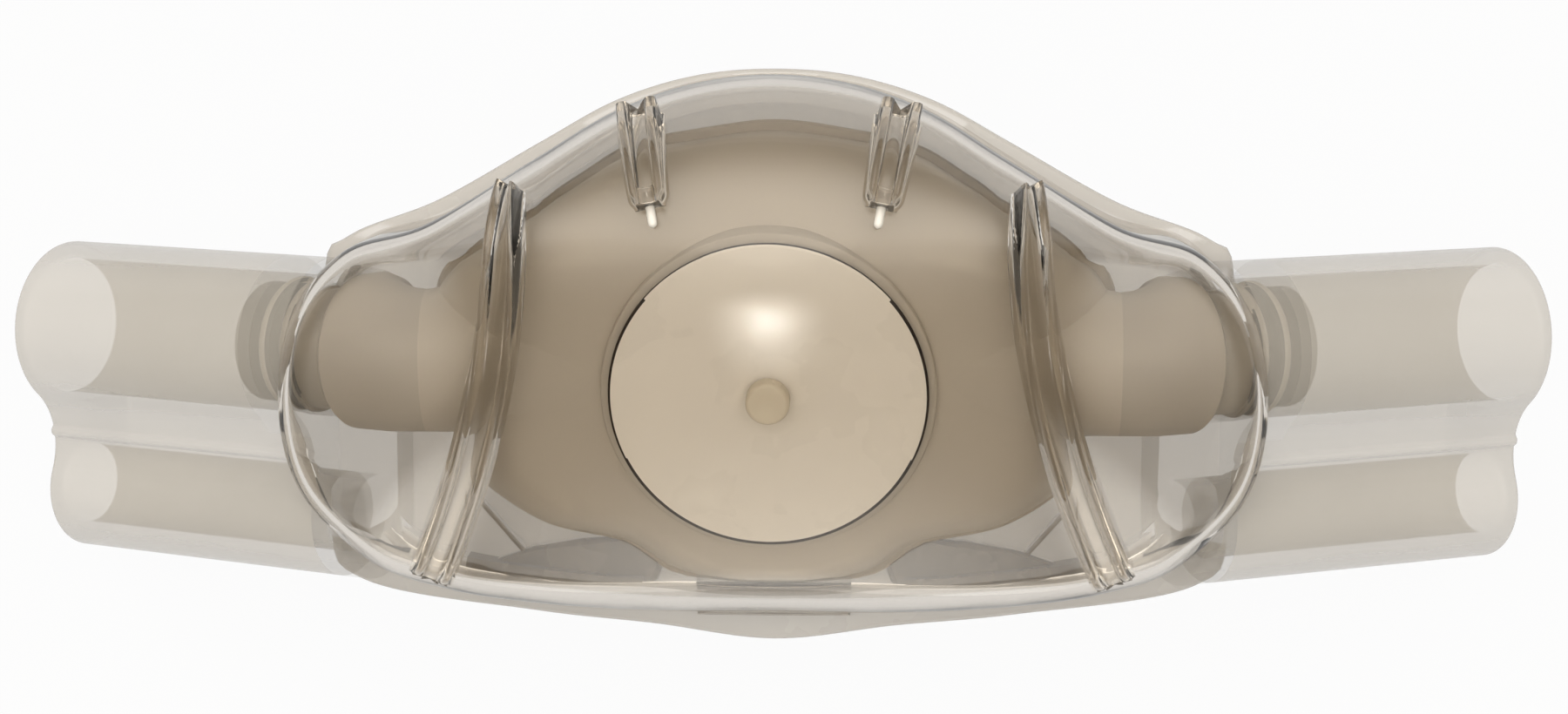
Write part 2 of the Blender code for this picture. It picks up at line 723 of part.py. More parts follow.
def turned(name, profile, count=TURN_POINTS, closed=False):
    """A body of revolution about the valve's axis; profile holds (radius, height)."""
    loops = [[valve_place(r, a, h) for a in circle(count)] for r, h in profile]
    return loft(name, loops, closed)


def window(name, quarter, low, high):
    """One of the four openings between the spokes of the valve seat."""
    steps = 6
    points = []
    for radius, order in ((DISC_R - SEAT_RING_WIDTH, 1), (HUB_R, -1)):
        trim = math.asin(SPOKE_WIDTH / 2.0 / radius)
        turn = [trim + (math.pi / 2.0 - 2.0 * trim) * i / steps for i in range(steps + 1)]
        points += [(radius, angle + quarter) for angle in turn[::order]]
    loops = [[valve_place(r, a, h) for r, a in points] for h in (low, high)]
    return loft(name, loops)


def rim_ring():
    """The cup's foot, which rests on the flange round its hole."""
    wide = inset(cup_outline(), -CUP_RIM_WIDTH)
    deep = inset(cup_outline(), CUP_WALL / 2.0)
    low, high = SEATED_LIFT - OVERCUT, SEATED_LIFT + CUP_RIM_THICKNESS
    loops = []
    for line, lift in ((wide, low), (wide, high), (deep, high), (deep, low)):
        loops.append([(p.x, p.y, flange_z(p.x) + lift) for p in line])
    return loft("rim_guide", loops, closed=True)


def make_inner_hood():
    cup = cup_dome(0.0, FLANGE_SIDE_Z).body("inner_hood")
    for side, word in ((-1.0, "left"), (1.0, "right")):
        combine(cup, tube_body(word + "_tube_guide", side, plug_rule()), "UNION")
    seat_r = DISC_R + SEAT_MARGIN
    seat_root = -SEAT_HEIGHT - SEAT_GAP - CUP_WALL - SEAT_CHAMFER
    seat = turned("seat_guide", [(seat_r, seat_root), (seat_r, -SEAT_GAP - SEAT_CHAMFER),
                                 (seat_r - SEAT_CHAMFER, -SEAT_GAP)])
    combine(cup, seat, "UNION")
    combine(cup, rim_ring(), "UNION")
    core = cup_dome(CUP_WALL, FLANGE_SIDE_Z - OVERCUT).body("cup_core")
    combine(cup, core, "DIFFERENCE")
    bore = TUBE_R - TUBE_WALL
    plug_bore = BIG_BORE_R - PLUG_CLEARANCE - PLUG_NECK_DROP - TUBE_WALL
    rule = [(TUBE_INNER_X - TUBE_BEND_X, bore), (0.0, bore), (TUBE_BORE_STEP, plug_bore),
            (plug_start() + PLUG_LENGTH + OVERCUT, plug_bore)]
    for side, word in ((-1.0, "left"), (1.0, "right")):
        combine(cup, tube_body(word + "_tube_bore", side, rule), "DIFFERENCE")
    low, high = seat_root - OVERCUT, OVERCUT
    for i in range(4):
        opening = window("seat_window_%d" % (i + 1), i * math.pi / 2.0, low, high)
        combine(cup, opening, "DIFFERENCE")
    combine(cup, turned("stem_hole", [(STEM_HOLE_R, low), (STEM_HOLE_R, high)], 16), "DIFFERENCE")
    trim = flange_slab("cup_trim", CUP_SIDE_X + CUP_RIM_WIDTH + OVERCUT)
    combine(cup, trim, "DIFFERENCE")
    return material(cup, (0.52, 0.44, 0.33), 0.4, 0.85)


# Exhalation valve
def make_valve_disc():
    rim, top = DISC_R - DISC_EDGE, DISC_THICKNESS
    profile = [(STEM_HOLE_R, 0.0), (rim, 0.0), (DISC_R, DISC_EDGE), (DISC_R, top - DISC_EDGE),
               (rim, top), (STEM_HOLE_R, top)]
    disc = turned("valve_disc", profile, 56, closed=True)
    return material(disc, (0.66, 0.58, 0.46), 0.35, 0.8)


def make_valve_stud():
    head = DISC_THICKNESS + SEAT_GAP
    top = head + BUTTON_HEIGHT
    back = -SEAT_HEIGHT - CUP_WALL - 3.0 * SEAT_GAP
    profile = [(BARB_TIP_R, back - BARB_HEIGHT), (BARB_R, back - BARB_LAND), (BARB_R, back),
               (STEM_R, back), (STEM_R, head), (BUTTON_R, head), (BUTTON_R, top - BUTTON_ROUND),
               (BUTTON_R - BUTTON_ROUND, top)]
    stud = turned("valve_stud", profile, 24)
    return material(stud, (0.48, 0.40, 0.30), 0.3)


clear_scene()
make_face_frame()
make_outer_shell()
make_inner_hood()
make_valve_disc()
make_valve_stud()
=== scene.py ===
import bpy
import math
import numpy as np
from mathutils import Matrix, Vector


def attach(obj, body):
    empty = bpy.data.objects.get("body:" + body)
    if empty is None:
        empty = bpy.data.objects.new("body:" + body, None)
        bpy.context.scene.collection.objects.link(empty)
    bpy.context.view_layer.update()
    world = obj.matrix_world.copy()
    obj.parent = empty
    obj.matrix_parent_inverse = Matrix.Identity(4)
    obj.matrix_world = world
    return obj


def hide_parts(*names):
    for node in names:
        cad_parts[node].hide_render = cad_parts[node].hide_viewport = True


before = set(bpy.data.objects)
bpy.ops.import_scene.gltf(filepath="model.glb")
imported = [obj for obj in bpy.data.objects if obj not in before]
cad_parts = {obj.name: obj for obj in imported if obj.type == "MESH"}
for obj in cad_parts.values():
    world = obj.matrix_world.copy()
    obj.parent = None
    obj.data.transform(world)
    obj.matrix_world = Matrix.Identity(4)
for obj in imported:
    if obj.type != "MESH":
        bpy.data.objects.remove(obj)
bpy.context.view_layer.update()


# Clear cover
# The hard front half of the hood: one thin moulding in clear plastic, with a
# high middle over the valve, a lower lobe over each side tube, an upright wall
# that stands on the flange round its collar, and a tab at the lip.
MM = 0.001
WELD, SOFT_ANGLE = 0.002, 32.0
SIDES = ((-1.0, "left"), (1.0, "right"))
FLANGE_SIDE_X, FLANGE_SIDE_Z, FLANGE_RISE, FLANGE_THICK = 53.0, 12.9, 6.5, 1.8
SEAT_GAP = 0.3
SEATED = FLANGE_THICK + SEAT_GAP
VALVE_Y, VALVE_Z, VALVE_TILT = -1.4, 37.9, math.radians(12.0)
COVER_WALL = 1.2
COVER_SIDE, COVER_BRIDGE, COVER_LIP = 54.6, 32.6, -28.6
COVER_POINTS, SPAN_POINTS, WALL_ROWS, EDGE_ROWS, CROWN_ROWS = 300, 32, 6, 15, 26
COVER_CENTRE = np.array([0.0, -1.0])
COVER_EDGE = ((19.0, 20.0), (4.0, 3.2), (7.0, 12.0))
COVER_SHAPE = [
    (0.0, 1.0), (0.165, 0.969), (0.3205, 0.879), (0.476, 0.724), (0.696, 0.503), (0.861, 0.415),
    (0.967, 0.202), (1.0, -0.140), (0.963, -0.490), (0.833, -0.776), (0.705, -0.899),
    (0.513, -0.955), (0.256, -0.990), (0.0, -1.0),
]
DOME_Z, DOME_R, DOME_BREAK, DOME_SOFT = 43.6, 143.0, 15.4, 2.5
CROWN_Y, CROWN_R = 8.0, 250.0
LOBE_Z, LOBE_Y, LOBE_R, LOBE_SLOPE = 41.2, 3.0, 50.0, 0.16
BLEND_START, BLEND_WIDTH = 9.0, 12.6
RIB_X, RIB_SLANT, RIB_BOW_R = 30.1, 0.231, 100.0


def outline(shape, side, bridge, lip, count):
    """Even points of the smooth closed curve through a mirrored half outline, in mm."""
    half = np.array([(a * side, b * bridge if b > 0.0 else -b * lip) for a, b in shape])
    knots = np.vstack([half, half[-2:0:-1] * (-1.0, 1.0)])
    t = (np.arange(SPAN_POINTS) / SPAN_POINTS)[:, None]
    spans = []
    for i in range(len(knots)):
        p0, p1, p2, p3 = (knots[(i + k - 1) % len(knots)] for k in range(4))
        spans.append(0.5 * (2.0 * p1 + (p2 - p0) * t + (2.0 * p0 - 5.0 * p1 + 4.0 * p2 - p3) * t * t
                            + (3.0 * p1 - p0 - 3.0 * p2 + p3) * t ** 3))
    dense = np.vstack(spans + [knots[:1]])
    run = np.concatenate([[0.0], np.cumsum(np.linalg.norm(np.diff(dense, axis=0), axis=1))])
    even = run[-1] * np.arange(count) / count
    return np.column_stack([np.interp(even, run, dense[:, k]) for k in (0, 1)])


def inset(points, distance):
    """The outline moved inwards by a distance."""
    along = np.roll(points, -1, axis=0) - np.roll(points, 1, axis=0)
    along /= np.linalg.norm(along, axis=1)[:, None]
    return points + distance * np.column_stack([along[:, 1], -along[:, 0]])


def flange_z(x):
    """Height of the saddle-shaped flange's face side."""
    share = np.minimum(1.0, np.abs(x) / FLANGE_SIDE_X)
    return FLANGE_SIDE_Z + FLANGE_RISE * (1.0 - share * share)


def seated_z(x):
    """Height of what rests on the flange."""
    return flange_z(x) + SEATED


def over_flange(points, lift):
    """Flat points placed at a lift above the flange's face side."""
    return np.column_stack([points, flange_z(points[:, 0]) + lift])


def rib_x(y):
    """Bowed line of the long rib, on which the middle dome gives way to the lobe."""
    return RIB_X - RIB_SLANT * y + y * y / (2.0 * RIB_BOW_R)


def cover_top(x, y, less=0.0):
    """Height of the cover's crown: the middle dome blended into the two lobes."""
    rise = -DOME_SOFT * np.logaddexp((VALVE_Y - y) / DOME_SOFT, -DOME_BREAK / DOME_SOFT)
    dome = DOME_Z + math.tan(VALVE_TILT) * rise - x * x / (2.0 * DOME_R)
    dome -= (y - CROWN_Y) ** 2 / (2.0 * CROWN_R)
    lobe = LOBE_Z - (y - LOBE_Y) ** 2 / (2.0 * LOBE_R)
    lobe -= LOBE_SLOPE * np.maximum(0.0, np.abs(x) - rib_x(y))
    share = np.clip((rib_x(y) - np.abs(x) + BLEND_START) / BLEND_WIDTH, 0.0, 1.0)
    share = share * share * (3.0 - 2.0 * share)
    return lobe + (dome - lobe) * share - less


def edge_size(angle, bridge, side, lip, less):
    """Reach and fall of the rounded edge at an angle round the crown."""
    up = np.sin(angle)
    share = up * up
    sizes = []
    for k in (0, 1):
        end = np.where(up > 0.0, bridge[k], lip[k])
        sizes.append(side[k] + (end - side[k]) * share - less)
    return sizes


def dome_rows(line, centre, top, edge, base, less=0.0):
    """Rows of points from the foot of the wall over the edge to the middle of the crown."""
    ray = line - centre
    reach = np.linalg.norm(ray, axis=1)
    across, fall = edge_size(np.arctan2(ray[:, 1], ray[:, 0]), *edge, less)
    foot = base(line[:, 0])
    edge_z = top(line[:, 0], line[:, 1], less) - fall
    rows = []
    for share in np.linspace(0.0, 1.0, WALL_ROWS)[:-1]:
        rows.append(np.column_stack([line, foot + (edge_z - foot) * share]))
    steps = [("edge", 1.0 - math.cos(a)) for a in np.linspace(0.0, math.pi / 2.0, EDGE_ROWS)]
    steps += [("crown", a) for a in np.linspace(0.0, 1.0, CROWN_ROWS)[1:]]
    inner = 1.0 - across / reach
    for kind, a in steps:
        t = 1.0 - a * (1.0 - inner) if kind == "edge" else inner * (1.0 - a)
        spot = centre + t[:, None] * ray
        depth = np.maximum(0.0, 1.0 - (1.0 - t) * reach / across)
        drop = fall * (1.0 - np.sqrt(np.maximum(0.0, 1.0 - depth ** 2)))
        rows.append(np.column_stack([spot, top(spot[:, 0], spot[:, 1], less) - drop]))
    return np.array(rows)


def shaped(name, rows):
    """A grid primitive whose points are moved onto closed rows of points in mm."""
    rows = np.asarray(rows, dtype=float)
    rows = np.concatenate([rows, rows[:, :1]], axis=1)
    bpy.ops.object.select_all(action="DESELECT")
    bpy.ops.mesh.primitive_grid_add(x_subdivisions=rows.shape[1] - 1, y_subdivisions=rows.shape[0] - 1)
    obj = bpy.context.object
    obj.name = name
    obj.data.name = name
    obj.data.vertices.foreach_set("co", (rows * MM).ravel())
    bpy.ops.object.mode_set(mode="EDIT")
    bpy.ops.mesh.select_all(action="SELECT")
    bpy.ops.mesh.remove_doubles(threshold=WELD * MM)
    bpy.ops.mesh.normals_make_consistent(inside=False)
    bpy.ops.object.mode_set(mode="OBJECT")
    return obj


def capped(rows):
    """The rows with both ends closed to a point in their middle."""
    rows = np.asarray(rows, dtype=float)
    first = np.repeat(rows[:1].mean(axis=1, keepdims=True), rows.shape[1], axis=1)
    last = np.repeat(rows[-1:].mean(axis=1, keepdims=True), rows.shape[1], axis=1)
    return np.concatenate([first, rows, last])


def pick_up(obj):
    """Makes a piece the only one selected, and the active one."""
    bpy.ops.object.select_all(action="DESELECT")
    bpy.context.view_layer.objects.active = obj
    obj.select_set(True)


def apply_modifier(obj, kind, **settings):
    pick_up(obj)
    mod = obj.modifiers.new(kind.lower(), kind)
    for key, value in settings.items():
        setattr(mod, key, value)
    bpy.ops.object.modifier_apply(modifier=mod.name)


def combine(obj, tool, operation):
    """Boolean with a tool body, which is then gone."""
    apply_modifier(obj, "BOOLEAN", operation=operation, solver="MANIFOLD", object=tool)
    bpy.data.objects.remove(tool, do_unlink=True)


def smooth(obj, degrees=SOFT_ANGLE):
    pick_up(obj)
    bpy.ops.object.shade_smooth_by_angle(angle=math.radians(degrees))


CLOUD_DETAIL, CLOUD_LOW, CLOUD_HIGH, GRAIN_DETAIL = 4.0, 0.3, 0.7, 2.0


def finish(name, colour, roughness, cloud, grain, alpha=1.0, ior=1.5, clear=0.0):
    """A moulded plastic; cloud holds (size, colour share, roughness share), grain (size, depth)."""
    mat = bpy.data.materials.new(name)
    mat.use_nodes = True
    nodes, links = mat.node_tree.nodes, mat.node_tree.links
    shader = nodes["Principled BSDF"]
    shader.inputs["Alpha"].default_value = alpha
    shader.inputs["IOR"].default_value = ior
    shader.inputs["Transmission Weight"].default_value = clear
    place = nodes.new("ShaderNodeTexCoord")
    haze = nodes.new("ShaderNodeTexNoise")
    haze.inputs["Scale"].default_value = 1.0 / (cloud[0] * MM)
    haze.inputs["Detail"].default_value = CLOUD_DETAIL
    links.new(place.outputs["Object"], haze.inputs["Vector"])
    shade = nodes.new("ShaderNodeMix")
    shade.data_type = "RGBA"
    shade.inputs["A"].default_value = (*[c * (1.0 - cloud[1]) for c in colour], 1.0)
    shade.inputs["B"].default_value = (*[min(1.0, c * (1.0 + cloud[1])) for c in colour], 1.0)
    links.new(haze.outputs["Fac"], shade.inputs["Factor"])
    links.new(shade.outputs["Result"], shader.inputs["Base Color"])
    sheen = nodes.new("ShaderNodeMapRange")
    sheen.inputs["From Min"].default_value = CLOUD_LOW
    sheen.inputs["From Max"].default_value = CLOUD_HIGH
    sheen.inputs["To Min"].default_value = roughness * (1.0 - cloud[2])
    sheen.inputs["To Max"].default_value = roughness * (1.0 + cloud[2])
    links.new(haze.outputs["Fac"], sheen.inputs["Value"])
    links.new(sheen.outputs["Result"], shader.inputs["Roughness"])
    ripple = nodes.new("ShaderNodeTexNoise")
    ripple.inputs["Scale"].default_value = 1.0 / (grain[0] * MM)
    ripple.inputs["Detail"].default_value = GRAIN_DETAIL
    links.new(place.outputs["Object"], ripple.inputs["Vector"])
    bump = nodes.new("ShaderNodeBump")
    bump.inputs["Strength"].default_value = 1.0
    bump.inputs["Distance"].default_value = grain[1] * MM
    links.new(ripple.outputs["Fac"], bump.inputs["Height"])
    links.new(bump.outputs["Normal"], shader.inputs["Normal"])
    return mat


def dress(obj, mat):
    obj.data.materials.clear()
    obj.data.materials.append(mat)
    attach(obj, "root")


ARM_SWEEP = math.radians(25.0)
ARM_END_X, ARM_ROOT_X, ARM_AXIS_Y, ARM_END_Z = 84.8, 46.5, 1.8, 8.81
BIG_R, BIG_BORE, SMALL_R, SMALL_BORE = 10.0, 7.95, 7.5, 4.7
BORE_SPACING, WAIST_R = 19.6, 8.0
SMALL_CENTRE = np.array([-BORE_SPACING, SMALL_R - BIG_R])
RIDGE_Y, RIDGE_HALF, RIDGE_HEIGHT = -12.3, 0.55, 0.5
BIG_POINTS, SMALL_POINTS, WAIST_POINTS = 48, 40, 60


def arm_section(grow=0.0):
    """Outline of the twin tube as (y, n), n being forwards and square to the axis."""
    big, small, fillet = BIG_R + grow, SMALL_R + grow, WAIST_R - grow
    span = np.linalg.norm(SMALL_CENTRE)
    a, b = big + fillet, small + fillet
    along = (a * a - b * b + span * span) / (2.0 * span)
    unit = SMALL_CENTRE / span
    front = np.array([unit[1], -unit[0]])
    front = front if front[1] > 0.0 else -front
    waist = along * unit + math.sqrt(a * a - along * along) * front

    def arc(centre, radius, first, last, count):
        angle = np.linspace(first, last, count)
        return centre + radius * np.column_stack([np.cos(angle), np.sin(angle)])

    start = math.atan2(*waist[::-1])
    stop = math.atan2(*(waist - SMALL_CENTRE)[::-1])
    first = math.atan2(*(SMALL_CENTRE - waist)[::-1])
    last = math.atan2(*(-waist)[::-1])
    web = arc(waist, fillet, first, last, WAIST_POINTS)[1:-1]
    lift = RIDGE_HEIGHT * np.exp(-((web[:, 0] - RIDGE_Y) / RIDGE_HALF) ** 4)
    web += lift[:, None] * (waist - web) / fillet
    return np.vstack([
        arc(np.zeros(2), big, start, -math.pi / 2.0, BIG_POINTS),
        arc(SMALL_CENTRE, small, -math.pi / 2.0, stop - 2.0 * math.pi, SMALL_POINTS),
        web,
    ])


def arm_axis_z(x):
    """Height of the big bore's axis at the station x."""
    return ARM_END_Z + math.tan(ARM_SWEEP) * (ARM_END_X - x)


def arm_points(side, x, section):
    """A section of the arm placed at the station x of the big bore's axis."""
    return np.column_stack([side * (x + section[:, 1] * math.sin(ARM_SWEEP)),
                            ARM_AXIS_Y + section[:, 0],
                            arm_axis_z(x) + section[:, 1] * math.cos(ARM_SWEEP)])


def arm_body(name, side, rule):
    """The twin tube without its bores; rule holds (station, growth all round)."""
    return shaped(name, capped([arm_points(side, x, arm_section(grow)) for x, grow in rule]))


cover_line = outline(COVER_SHAPE, COVER_SIDE, COVER_BRIDGE, COVER_LIP, COVER_POINTS)
cover = shaped("clear_cover", dome_rows(cover_line, COVER_CENTRE, cover_top, COVER_EDGE, seated_z))
apply_modifier(cover, "SOLIDIFY", thickness=COVER_WALL * MM, offset=-1.0, use_even_offset=True)
for side, word in SIDES:
    hole = arm_body(word + "_arm_hole", side, [(ARM_ROOT_X - SEAT_GAP, SEAT_GAP), (ARM_END_X, SEAT_GAP)])
    combine(cover, hole, "DIFFERENCE")

TAB_HALF, TAB_REACH, TAB_ROOT = 8.8, 1.0, 3.4
TAB_LAYERS = ((2.1, 0.0), (3.9, 0.0), (4.2, -0.12), (4.3, -0.35))
# Place of a dark strip of painted shade on the tab's top
SHADE_LINE_FRONT, SHADE_LINE_REAR, SHADE_LINE_LIFTS = 1.35, 1.8, (3.9, 4.7)
BLOCK_POINTS = 24
CLEAR_TINT, CLEAR_DENSITY = (0.44, 0.37, 0.27, 1.0), 125.0


def lip_block(name, layers):
    """A block across the lip that follows the flange; layers hold (lift, half width, front, rear)."""
    rows = []
    for lift, half, front, rear in layers:
        there = np.linspace(-half, half, BLOCK_POINTS)
        back = np.linspace(half, -half, BLOCK_POINTS)
        ys = np.repeat([front, rear], BLOCK_POINTS)
        rows.append(over_flange(np.column_stack([np.concatenate([there, back]), ys]), lift))
    return shaped(name, capped(rows))


tab_front, tab_rear = COVER_LIP - TAB_REACH, COVER_LIP + TAB_ROOT
tab = lip_block("cover_tab", [(lift, TAB_HALF + grow, tab_front - grow, tab_rear + grow)
                              for lift, grow in TAB_LAYERS])
smooth(tab)
smooth(cover)
clear = finish("clear_plastic", (0.955, 0.93, 0.89), 0.035, (30.0, 0.02, 0.4), (16.0, 0.05),
               ior=1.45, clear=1.0)
body_tint = clear.node_tree.nodes.new("ShaderNodeVolumeAbsorption")
body_tint.inputs["Color"].default_value = CLEAR_TINT
body_tint.inputs["Density"].default_value = CLEAR_DENSITY
clear_end = clear.node_tree.nodes["Material Output"]
clear.node_tree.links.new(body_tint.outputs["Volume"], clear_end.inputs["Volume"])
dress(cover, clear)
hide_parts("outer_shell")
dress(tab, clear)
# A near-black strip laid on the tab is painted shade: it stands for the dark line at the clear tab's edge.
step = lip_block("tab_painted_shade_line", [(lift, TAB_HALF, COVER_LIP + SHADE_LINE_FRONT, COVER_LIP + SHADE_LINE_REAR)
                              for lift in SHADE_LINE_LIFTS])
shade_line_paint = finish("painted_shade_line", (0.1, 0.087, 0.074), 0.3, (4.0, 0.1, 0.3), (1.0, 0.01))
dress(step, shade_line_paint)


# Ribs, prongs and their pins
# Raised channels of the same moulding: two long ones between the middle and the
# lobes, and two short ones with closed tips that point down from the bridge.
# A short pin is left at each tip, its pale colour a painted highlight.
PROBE, BAR_ANGLE = 0.15, 50.0
RIB_START_Y, RIB_END_Y, RIB_STATIONS, RIB_FADE, RIB_LEAST = 20.8, -23.6, 70, 3.0, 0.15
RIB_HALF, RIB_OUT, RIB_SLOT, RIB_BED, RIB_FOOT = 2.1, 1.7, 1.0, 0.75, 0.5
PRONG_X, PRONG_Y, PRONG_LEAN, PRONG_LENGTH, PRONG_TIP = 13.9, 28.4, 0.2, 8.9, 1.2
PRONG_HALF, PRONG_TAPER, PRONG_OUT, PRONG_SLOT, PRONG_FOOT = 2.3, 0.06, 2.4, 0.85, 0.4
PRONG_BED, PRONG_CLOSED, PRONG_CLOSED_BED, PRONG_LEAST = 0.5, 7.3, 2.3, 1.3
PIN_START, PIN_END, PIN_ROUND, PIN_R, PIN_LIFT = 8.6, 10.9, 10.4, 0.5, 0.3
PRONG_STATIONS, PIN_STATIONS, PIN_POINTS, PIN_ARCH = 34, 14, 19, (-35.0, 215.0)
PRONG_END, PIN_END_SHARE = 0.05, 0.02


def cover_height(x, y):
    """Height of the cover's outside over a point, with its rounded edge."""
    d = np.array([x, y]) - COVER_CENTRE
    angle = math.atan2(d[1], d[0])
    ray = cover_line - COVER_CENTRE
    angles = np.mod(np.arctan2(ray[:, 1], ray[:, 0]), 2.0 * math.pi)
    order = np.argsort(angles)
    reach = np.interp(angle % (2.0 * math.pi), angles[order], np.linalg.norm(ray, axis=1)[order],
                      period=2.0 * math.pi)
    across, fall = edge_size(np.array(angle), *COVER_EDGE, 0.0)
    depth = max(0.0, 1.0 - (reach - np.linalg.norm(d)) / across)
    return float(cover_top(x, y) - fall * (1.0 - math.sqrt(max(0.0, 1.0 - depth * depth))))


def cover_normal(x, y):
    dx = (cover_height(x + PROBE, y) - cover_height(x - PROBE, y)) / (2.0 * PROBE)
    dy = (cover_height(x, y + PROBE) - cover_height(x, y - PROBE)) / (2.0 * PROBE)
    n = np.array([-dx, -dy, 1.0])
    return n / np.linalg.norm(n)


def channel(name, line, profiles):
    """A bar laid on the cover; each station has its own profile of (side, lift)."""
    rows = []
    for i, (x, y) in enumerate(line):
        run = np.array([*(line[min(i + 1, len(line) - 1)] - line[max(i - 1, 0)]), 0.0])
        run /= np.linalg.norm(run)
        n = cover_normal(x, y)
        across = np.cross(run, n)
        across /= np.linalg.norm(across)
        spot = np.array([x, y, cover_height(x, y)])
        rows.append([spot + s * across + lift * n for s, lift in profiles[i]])
    bar = shaped(name, capped(rows))
    smooth(bar, BAR_ANGLE)
    return bar


def bar_profile(half, out, slot, bed, foot):
    """A U section as (side, lift): a right half, whose corners are softened in steps, and its mirror."""
    right = [(slot - 0.35, bed), (slot - 0.08, bed + 0.12), (slot, bed + 0.4), (slot + 0.06, out - 0.35),
             (slot + 0.22, out - 0.08), (slot + 0.45, out), (half - 0.45, out), (half - 0.18, out - 0.1),
             (half - 0.04, out - 0.4), (half, 0.35), (half + foot * 0.4, 0.08), (half + foot, -0.02),
             (half + foot, -0.12)]
    left = [(-s, lift) for s, lift in reversed(right)]
    return right + [(0.0, -0.12)] + left + [(0.0, bed)]


def prong_profile(down):
    """The prong's section at a distance from its root: it narrows, closes and ends round."""
    end = min(1.0, (PRONG_LENGTH - down) / PRONG_TIP)
    half = (PRONG_HALF - PRONG_TAPER * down) * math.sqrt(max(PRONG_END, 1.0 - (1.0 - end) ** 2))
    bed = PRONG_BED if down < PRONG_CLOSED else PRONG_CLOSED_BED
    return bar_profile(max(half, PRONG_LEAST), PRONG_OUT, PRONG_SLOT, bed, PRONG_FOOT)


def pin_profile(down):
    """The round pin's section, with its end drawn in."""
    radius = PIN_R * math.sqrt(max(PIN_END_SHARE, 1.0 - max(0.0, (down - PIN_ROUND) / PIN_R) ** 2))
    arch = np.radians(np.linspace(*PIN_ARCH, PIN_POINTS))
    return [(radius * math.cos(a), PIN_LIFT + radius * math.sin(a)) for a in arch]


def prong_line(side, down):
    return np.column_stack([side * (PRONG_X - PRONG_LEAN * down), PRONG_Y - down])


# The pins' pale colour is a painted highlight at the prong tips.
nub_highlight_paint = finish("nub_painted_highlight", (0.85, 0.806, 0.724), 0.3, (2.0, 0.05, 0.3), (0.8, 0.01), alpha=0.9)
ys = np.linspace(RIB_START_Y, RIB_END_Y, RIB_STATIONS)
heights = np.minimum(1.0, np.arange(RIB_STATIONS)[::-1] / RIB_FADE + RIB_LEAST)
rib_profiles = [bar_profile(RIB_HALF, RIB_OUT * k, RIB_SLOT, RIB_BED * k, RIB_FOOT) for k in heights]
prong_down = np.linspace(0.0, PRONG_LENGTH, PRONG_STATIONS)
pin_down = np.linspace(PIN_START, PIN_END, PIN_STATIONS)
for side, word in SIDES:
    rib = channel(word + "_rib", np.column_stack([side * rib_x(ys), ys]), rib_profiles)
    dress(rib, clear)
    prong = channel(word + "_prong", prong_line(side, prong_down), [prong_profile(d) for d in prong_down])
    dress(prong, clear)
    pin = channel(word + "_nub", prong_line(side, pin_down), [pin_profile(d) for d in pin_down])
    dress(pin, nub_highlight_paint)


# Face frame
# The soft part that meets the face: a saddle-shaped flange with a low collar,
# pads and thin webs at the lip, and two twin-bore arms swept back from it. It
# is one moulding of frosted vinyl, thinner and clearer at the roots of the arms.
FLANGE_BRIDGE, FLANGE_LIP = 33.0, -33.0
FRAME_POINTS, ROUND_POINTS = 240, 6
FLANGE_SHAPE = [
    (0.0, 1.0), (0.170, 0.976), (0.340, 0.891), (0.509, 0.742), (0.736, 0.536), (0.943, 0.400),
    (1.0, 0.242), (1.0, -0.606), (0.925, -0.836), (0.528, -0.918), (0.264, -0.952), (0.0, -1.0),
]
CUP_SHAPE = [
    (0.0, 1.0), (0.253, 0.962), (0.473, 0.905), (0.643, 0.783), (0.795, 0.660), (0.935, 0.545),
    (1.035, 0.440), (1.115, 0.300), (1.115, 0.08), (1.055, -0.155), (1.01, -0.36), (0.985, -0.519),
    (0.774, -0.698), (0.506, -0.775), (0.342, -0.905), (0.149, -0.988), (0.0, -1.0),
]
CUP_WALL = 1.4
CUP_SIDE, CUP_BRIDGE, CUP_LIP = 33.6, 26.3, -25.8
HOLE_MARGIN, EDGE_ROUND = 0.6, 0.6
SHEET_STEPS = (0.2, 0.4, 0.6, 0.8)
COLLAR_WALL, COLLAR_FOOT, COLLAR_TOP = 1.3, 0.5, 4.8
COLLAR_BREAKS = [((-54.6, 0.0), (21.2, 90.0)), ((54.6, 0.0), (21.2, 90.0)), ((0.0, -33.0), (30.0, 33.0))]
BREAK_HEIGHT = 40.0
PAD_LINE = [
    (13.2, -19.6), (17.0, -20.6), (22.0, -21.0), (28.0, -22.2), (34.5, -24.6), (31.0, -26.0),
    (24.0, -26.6), (18.0, -26.9), (13.6, -26.6), (12.6, -23.0),
]
PAD_LAYERS = ((0.0, 0.6), (0.0, 2.6), (0.25, 3.1), (0.7, 3.4))
WEB_FOOT, WEB_HEAD, WEB_HALF, WEB_LIFTS = (34.6, -16.4), (29.0, -22.6), 0.28, (0.6, 3.2)
outer = outline(FLANGE_SHAPE, FLANGE_SIDE_X, FLANGE_BRIDGE, FLANGE_LIP, FRAME_POINTS)
cup_line = outline(CUP_SHAPE, CUP_SIDE, CUP_BRIDGE, CUP_LIP, FRAME_POINTS)
inner = inset(cup_line, CUP_WALL + HOLE_MARGIN)
quarter_turn = np.linspace(0.0, math.pi / 2.0, ROUND_POINTS)


def sheet_row(share, step, lift):
    """A line between the flange's edge and its hole, a step further inwards, at a lift."""
    away = inner - outer
    away /= np.linalg.norm(away, axis=1)[:, None]
    return over_flange(outer + (inner - outer) * share + step * away, lift)


